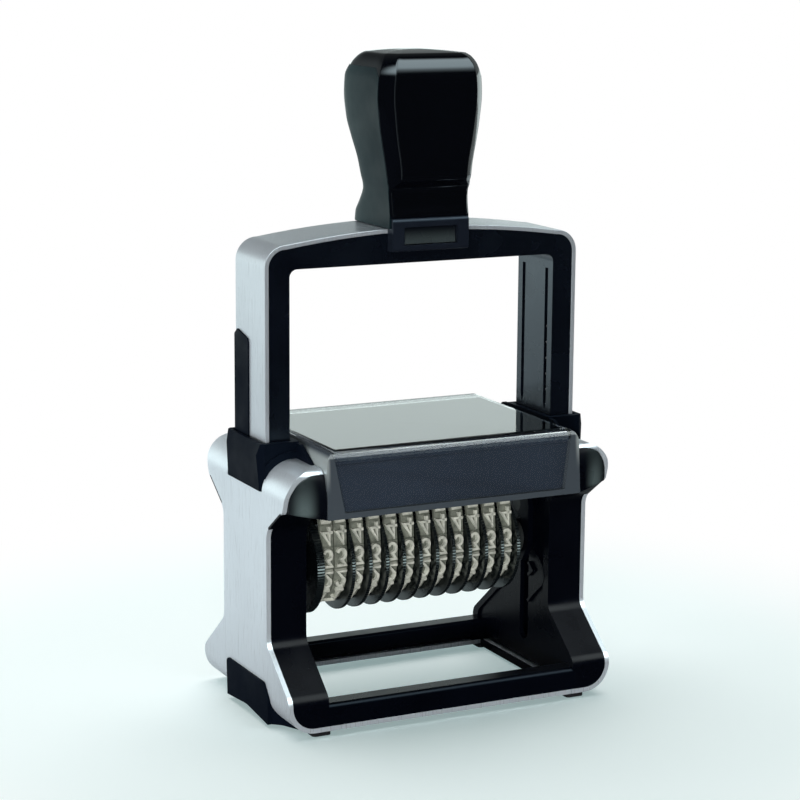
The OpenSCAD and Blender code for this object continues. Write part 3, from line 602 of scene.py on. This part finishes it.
def handle_panel():
    """Gloss panel on the front: runs up the flat and over the rounded edge to the top."""
    verts = []
    for z in PANEL_RINGS:
        w, front, _, bevel = level(z)
        curve = PANEL_CURVE if z == PANEL_FOOT else 0.0
        for c in range(PANEL_COLS):
            share = -1 + 2 * c / (PANEL_COLS - 1)
            verts.append(((w - bevel - PANEL_GAP) * share, front - PANEL_PROUD, z + curve * share * share))
    faces = grid_faces(len(PANEL_RINGS), PANEL_COLS)
    obj = piece("handle_face", verts, faces, GLOSS, "arch", ["handle_panel"])
    skin(obj, thickness=0.4, edge=0.08)


handle_core()
handle_cheek(-1, "cheek_skin_left", "handle_cheek_left")
handle_cheek(1, "cheek_skin_right", "handle_cheek_right")
handle_panel()


# ---- Return springs -------------------------------------------------------

# Radius of the coil and of its wire, turns, the heights between which it stands, and its facets
SPRING_R, WIRE_R, SPRING_TURNS = 1.6, 0.3, 22
SPRING_FOOT, SPRING_TOP = 4.0, 96.0
TURN_STEPS, WIRE_SIDES = 14, 6


def return_spring(name, node):
    """Coil inside a leg of the arch."""
    mid_x, mid_y, _ = middle(node)
    low, high = SPRING_FOOT + 2 * WIRE_R, SPRING_TOP - 2 * WIRE_R
    steps = TURN_STEPS * SPRING_TURNS
    verts = []
    for i in range(steps + 1):
        turn = 2 * math.pi * SPRING_TURNS * i / steps
        z = low + (high - low) * i / steps
        for k in range(WIRE_SIDES):
            a = 2 * math.pi * k / WIRE_SIDES
            r = SPRING_R + WIRE_R * math.cos(a)
            verts.append((mid_x + r * math.cos(turn), mid_y + r * math.sin(turn), z + WIRE_R * math.sin(a)))
    faces = grid_faces(steps + 1, WIRE_SIDES, closed=True)
    faces += [tuple(range(WIRE_SIDES)), tuple(range(steps * WIRE_SIDES, len(verts)))]
    obj = piece(name, verts, faces, BRIGHT, "base", [node])
    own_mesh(obj)


return_spring("coil_left", "return_spring_left")
return_spring("coil_right", "return_spring_right")


# ---- Number bands ---------------------------------------------------------

BANDS = 12
# Pitch of the characters round a band, and each facet's slope in degrees, from the lowest corner up the back
PITCH = 5.8
TURNS = (15, 45, 75, 93, 97, 115, 146.63)
CORNER_R = PITCH / (2 * math.sin(math.radians(15)))
# Width and thickness of a band, height of its characters, and the grooves between its facets
BAND_W, BAND_T, CHAR_H = 3.42, 1.2, 0.8
GROOVE_W, GROOVE_D = 0.22, 0.28
# Size of a figure, and its strokes: width at the foot and on top, and how far they reach down and up
FIGURE_W, FIGURE_H = 2.65, 4.1
STROKE_FOOT, STROKE_TOP = 1.05, 0.70
STROKE_LOW, STROKE_HIGH = -0.12, CHAR_H - 0.02
# The facet with the 0. Each next figure stands one facet back in the list, and the 7 is on the print line
ZERO_FACET = 14


def loop_corners():
    """Corners of the loop over the characters, in (y, z) about the axle, from the lowest one up the back."""
    y, z = 0.0, -CORNER_R
    half = []
    for turn in TURNS:
        y += PITCH * math.cos(math.radians(turn))
        z += PITCH * math.sin(math.radians(turn))
        half.append((y, z))
    return [(0.0, -CORNER_R)] + half + [(-y, z) for y, z in reversed(half)]


def corner_of(points, i):
    """A corner of a closed outline, with the directions to the one before and the one after."""
    here = Vector(points[i])
    after = Vector(points[(i + 1) % len(points)])
    return here, (Vector(points[i - 1]) - here).normalized(), (after - here).normalized()


def drawn_in(points, depth):
    """The outline moved inwards."""
    out = []
    for i in range(len(points)):
        here, a, b = corner_of(points, i)
        out.append(tuple(here + (a + b).normalized() * (depth / math.sin(a.angle(b) / 2))))
    return out


def grooved(points):
    """The outline with a small groove at each corner, three points for one."""
    out = []
    for i, bottom in enumerate(drawn_in(points, GROOVE_D)):
        here, a, b = corner_of(points, i)
        out += [tuple(here + a * GROOVE_W), bottom, tuple(here + b * GROOVE_W)]
    return out


def arc(cx, cy, rx, ry, start, end, steps=10):
    turns = [math.radians(start + (end - start) * i / steps) for i in range(steps + 1)]
    return [(cx + rx * math.cos(turn), cy + ry * math.sin(turn)) for turn in turns]


# Strokes of the figures 0 to 9 in a box 1 wide and 1 high, centred
FIGURES = [
    [arc(0, 0.14, 0.4, 0.36, 0, 180) + arc(0, -0.14, 0.4, 0.36, 180, 360) + [(0.4, 0.14)]],
    [[(-0.26, 0.24), (0.06, 0.5), (0.06, -0.5)], [(-0.24, -0.5), (0.36, -0.5)]],
    [arc(0, 0.18, 0.38, 0.32, 170, -28) + [(-0.38, -0.5), (0.42, -0.5)]],
    [[(-0.34, 0.5), (0.36, 0.5), (-0.02, 0.13)] + arc(-0.02, -0.19, 0.4, 0.31, 88, -150, 11)],
    [[(0.2, -0.5), (0.2, 0.5), (-0.42, -0.2), (0.44, -0.2)]],
    [[(0.36, 0.5), (-0.3, 0.5), (-0.34, 0.08)] + arc(0.0, -0.17, 0.4, 0.33, 130, -150, 12)],
    [arc(0, -0.2, 0.4, 0.3, 0, 360, 14), [(-0.4, -0.2), (-0.36, 0.16), (-0.1, 0.42), (0.28, 0.5)]],
    [[(-0.4, 0.5), (0.4, 0.5), (0.12, 0.1), (-0.08, -0.5)]],
    [arc(0, 0.25, 0.34, 0.25, -90, 270, 14), arc(0, -0.25, 0.4, 0.25, 90, 450, 14)],
    [arc(0, 0.2, 0.4, 0.3, 180, 540, 14), [(0.4, 0.2), (0.36, -0.16), (0.1, -0.42), (-0.28, -0.5)]],
]


def ridge(points):
    """A raised stroke along a line of points, with sloping sides and a flat top, as (u, v, h) and faces."""
    clean = [points[0]]
    for p in points[1:]:
        if (Vector(p) - Vector(clean[-1])).length > 1e-6:
            clean.append(p)
    closed = (Vector(clean[0]) - Vector(clean[-1])).length < 1e-4
    if closed:
        clean.pop()
    n = len(clean)
    # Four points at each step, by their place across the stroke and their height
    profile = ((-STROKE_FOOT / 2, STROKE_LOW), (-STROKE_TOP / 2, STROKE_HIGH),
               (STROKE_TOP / 2, STROKE_HIGH), (STROKE_FOOT / 2, STROKE_LOW))
    verts, faces = [], []
    for i, p in enumerate(clean):
        here = Vector(p)
        before = Vector(clean[i - 1]) if i or closed else None
        after = Vector(clean[(i + 1) % n]) if i < n - 1 or closed else None
        came = (here - before).normalized() if before is not None else (after - here).normalized()
        goes = (after - here).normalized() if after is not None else came
        along = (came + goes).normalized() if (came + goes).length > 1e-6 else goes
        # A bend is mitred, within limits
        side = Vector((-along.y, along.x)) * min(1.6, 1 / max(0.4, along.dot(goes)))
        # An open end reaches a little past its last point
        if not closed and i in (0, n - 1):
            here = here + (along if i else -along) * (STROKE_FOOT * 0.25)
        for across, up in profile:
            q = here + side * across
            verts.append((q.x, q.y, up))
    for i in range(n if closed else n - 1):
        a, b = 4 * i, 4 * ((i + 1) % n)
        faces += [(a + k, a + k + 1, b + k + 1, b + k) for k in range(3)]
        faces.append((a + 3, a, b, b + 3))
    if not closed:
        faces += [(0, 1, 2, 3), (4 * n - 1, 4 * n - 2, 4 * n - 3, 4 * n - 4)]
    return verts, faces


def band(name, node, mid, base):
    """Rubber loop, from the outline under the characters inwards."""
    outer, inner = grooved(base), drawn_in(loop_corners(), CHAR_H + BAND_T)
    # Three points of the outer outline stand over each inner one
    m, n = len(outer), len(inner)
    edges = (mid.x - BAND_W / 2, mid.x + BAND_W / 2)
    verts = [(x, y, mid.z + z) for outline in (outer, inner) for x in edges for y, z in outline]
    faces = [(i, (i + 1) % m, m + (i + 1) % m, m + i) for i in range(m)]
    first = 2 * m
    for i in range(n):
        j = (i + 1) % n
        faces.append((first + j, first + i, first + n + i, first + n + j))
        for side in (0, 1):
            o, s = side * m, first + side * n
            faces.append((o + 3 * i + 2, o + 3 * j, s + j, s + i))
            faces.append((o + 3 * i, o + 3 * i + 1, s + i))
            faces.append((o + 3 * i + 1, o + 3 * i + 2, s + i))
    obj = piece(name, verts, faces, BAND, "carriage", [node])
    broken_edges(obj, 0.1)


def figures(name, mid, base):
    """Figures 0 to 9 up the front of a band, mirrored, as type is."""
    verts, faces = [], []
    for figure, strokes in enumerate(FIGURES):
        facet = ZERO_FACET - figure
        a, b = Vector(base[facet]), Vector(base[(facet + 1) % len(base)])
        centre, along = (a + b) / 2, (b - a).normalized()
        out = Vector((along.y, -along.x))
        for stroke in strokes:
            part, part_faces = ridge([(u * FIGURE_W, v * FIGURE_H) for u, v in stroke])
            start = len(verts)
            for u, v, h in part:
                p = centre + along * v + out * h
                verts.append((mid.x + u, p.x, mid.z + p.y))
            faces += [tuple(start + k for k in face) for face in part_faces]
    obj = piece(name, verts, faces, TYPE, "carriage")
    broken_edges(obj, 0.09)


axle_z = middle("wheel_axle").z
base = drawn_in(loop_corners(), CHAR_H)
for number in range(1, BANDS + 1):
    node = f"band_{number:02d}"
    mid = Vector((middle(node).x, 0.0, axle_z))
    band(f"loop_{number:02d}", node, mid, base)
    figures(f"figures_{number:02d}", mid, base)
    dress(f"wheel_{number:02d}", DISC, 0.05, 1)


# ---- Floor, light and camera ----------------------------------------------

WHITE = (1.0, 1.0, 1.0)

# Floor: its edges, its colour, a cool glow over it, and how far from the middle it turns white
FLOOR_X, FLOOR_Y = (-0.7, 0.7), (-0.22, 1.1)
FLOOR_COLOR = (0.78, 0.78, 0.775)
GLOW_COLOR, FLOOR_GLOW = (0.72, 1.0, 1.0), 0.30
FLOOR_FADE = (0.10, 0.19)
# What polished surfaces mirror of the floor: its colour in front, its colour behind, and where it changes
MIRRORED_FRONT, MIRRORED_BACK = (0.04, 0.045, 0.05), (0.68, 0.755, 0.775)
FLOOR_EDGE = (-0.05, 0.12)

# World: its colour, and its light on matt surfaces from the front and from behind
WORLD_COLOR = (0.90, 1.0, 1.0)
SKY, SKY_TURN = (0.04, 0.30), (-0.35, 0.5)
# What polished surfaces mirror of it, by the direction they look in:
# a studio with its light in front and behind, dimmer higher up
STUDIO, STUDIO_TURN = (0.03, 0.28), (-0.1, 0.4)
STUDIO_UP, STUDIO_DIM = (0.25, 0.45), (1.0, 0.3)
# a softbox overhead in front, between two slopes and above a third
STRIP, STRIP_UP, STRIP_LIGHT = ((-0.95, -0.80), (-0.35, -0.10)), (0.34, 0.54), 5.5
# and a soft light at the front left
FILL, FILL_FRONT, FILL_LIGHT = ((-0.60, -0.45), (-0.20, 0.05)), (-0.75, -0.6), 0.8

# Camera: its place in metres, the direction it looks in, its roll in degrees and its lens
CAMERA_PLACE = (-0.26554, -0.53106, 0.19408)
CAMERA_FORWARD = (0.43578, 0.87863, -0.19523)
CAMERA_ROLL = 0.42
CAMERA_LENS = 107.21


def floor():
    """Table top, light as far as the shadow reaches and white beyond."""
    corners = [(FLOOR_X[i], FLOOR_Y[j], 0.0) for i, j in ((0, 0), (1, 0), (1, 1), (0, 1))]
    mesh = bpy.data.meshes.new("floor")
    mesh.from_pydata(corners, [], [(0, 1, 2, 3)])
    obj = bpy.data.objects.new("floor", mesh)
    bpy.context.collection.objects.link(obj)
    mat = bpy.data.materials.new("floor")
    t = Tree(mat)
    t.nodes.clear()
    place = t.node("ShaderNodeTexCoord")["Object"]
    behind = t.smooth(t.node("ShaderNodeSeparateXYZ", place)["Y"], FLOOR_EDGE, (0.0, 1.0))
    top = t.node("ShaderNodeBsdfDiffuse", FLOOR_COLOR)[0]
    mirrored = t.node("ShaderNodeBsdfDiffuse", t.mix(behind, MIRRORED_FRONT, MIRRORED_BACK))[0]
    glossy = t.node("ShaderNodeLightPath")["Is Glossy Ray"]
    lit = t.node("ShaderNodeMixShader", glossy, top, mirrored)[0]
    seen = t.seen()
    glow = t.node("ShaderNodeEmission", GLOW_COLOR, t.product(seen, FLOOR_GLOW))[0]
    near = t.node("ShaderNodeAddShader", lit, glow)[0]
    far = t.node("ShaderNodeEmission", WHITE, 1.0)[0]
    away = t.node("ShaderNodeVectorMath", place, operation="LENGTH")["Value"]
    fade = t.product(t.smooth(away, FLOOR_FADE, (0.0, 1.0)), seen)
    t.node("ShaderNodeOutputMaterial", t.node("ShaderNodeMixShader", fade, near, far)[0])
    obj.data.materials.append(mat)


def world():
    """White to the camera, plain to matt surfaces and a studio to polished ones."""
    made = bpy.data.worlds.new("world")
    bpy.context.scene.world = made
    t = Tree(made)
    t.nodes.clear()
    across, depth, up = t.node("ShaderNodeSeparateXYZ", t.node("ShaderNodeTexCoord")["Generated"])
    softbox = t.product(t.smooth(depth, STRIP[0], (0.0, STRIP_LIGHT)), t.smooth(depth, STRIP[1], (1.0, 0.0)),
                        t.smooth(up, STRIP_UP, (0.0, 1.0)))
    fill = t.product(t.smooth(across, FILL[0], (0.0, FILL_LIGHT)), t.smooth(across, FILL[1], (1.0, 0.0)),
                     t.smooth(depth, FILL_FRONT, (1.0, 0.0)))
    room = t.product(t.smooth(depth, STUDIO_TURN, STUDIO), t.smooth(up, STUDIO_UP, STUDIO_DIM))
    studio = t.calc("ADD", t.calc("ADD", softbox, fill), room)
    sky = t.smooth(depth, SKY_TURN, SKY)
    glossy = t.node("ShaderNodeLightPath")["Is Glossy Ray"]
    strength = t.calc("ADD", t.product(studio, glossy), t.product(sky, t.calc("SUBTRACT", 1.0, glossy)))
    lit = t.node("ShaderNodeBackground", WORLD_COLOR, strength)[0]
    white = t.node("ShaderNodeBackground", WHITE, 1.0)[0]
    t.node("ShaderNodeOutputWorld", t.node("ShaderNodeMixShader", t.seen(), lit, white)[0])


def area(name, place, aim, size, power, color=WHITE, mirrored=False):
    """A rectangular lamp that shines from a place towards another."""
    data = bpy.data.lights.new(name, "AREA")
    data.shape = "RECTANGLE"
    data.size, data.size_y = size
    data.energy = power
    data.color = color
    obj = bpy.data.objects.new(name, data)
    bpy.context.collection.objects.link(obj)
    obj.visible_glossy = mirrored
    obj.location = place
    obj.rotation_mode = "QUATERNION"
    obj.rotation_quaternion = (Vector(aim) - Vector(place)).to_track_quat("-Z", "Y")


def camera():
    """The photograph's camera, turned a little about the line it looks along."""
    data = bpy.data.cameras.new("camera")
    data.lens = CAMERA_LENS
    data.sensor_width = 36
    data.clip_start, data.clip_end = 0.05, 50
    obj = bpy.data.objects.new("camera", data)
    bpy.context.collection.objects.link(obj)
    forward = Vector(CAMERA_FORWARD).normalized()
    right = forward.cross(Vector((0, 0, 1))).normalized()
    up = right.cross(forward)
    c, s = math.cos(math.radians(CAMERA_ROLL)), math.sin(math.radians(CAMERA_ROLL))
    turned = Matrix((right * c + up * s, up * c - right * s, -forward)).transposed()
    obj.matrix_world = Matrix.Translation(CAMERA_PLACE) @ turned.to_4x4()
    bpy.context.scene.camera = obj


floor()
world()
area("top", place=(0.08, 0.30, 0.92), aim=(0.0, 0.0, 0.05), size=(1.2, 0.75), power=7.5)
area("backdrop", place=(0.3, 0.62, 0.115), aim=(0.3, 0.0, 0.115), size=(2.2, 0.23), power=1.9,
     color=(0.87, 1.0, 0.98), mirrored=True)
area("front", place=(-0.6, -1.05, 0.065), aim=(0.0, 0.0, 0.06), size=(0.35, 0.11), power=13.0)
area("left", place=(-0.95, 0.05, 0.10), aim=(0.0, 0.0, 0.05), size=(0.4, 0.16), power=3.8)
camera()

scene = bpy.context.scene
scene.view_settings.view_transform = "Standard"
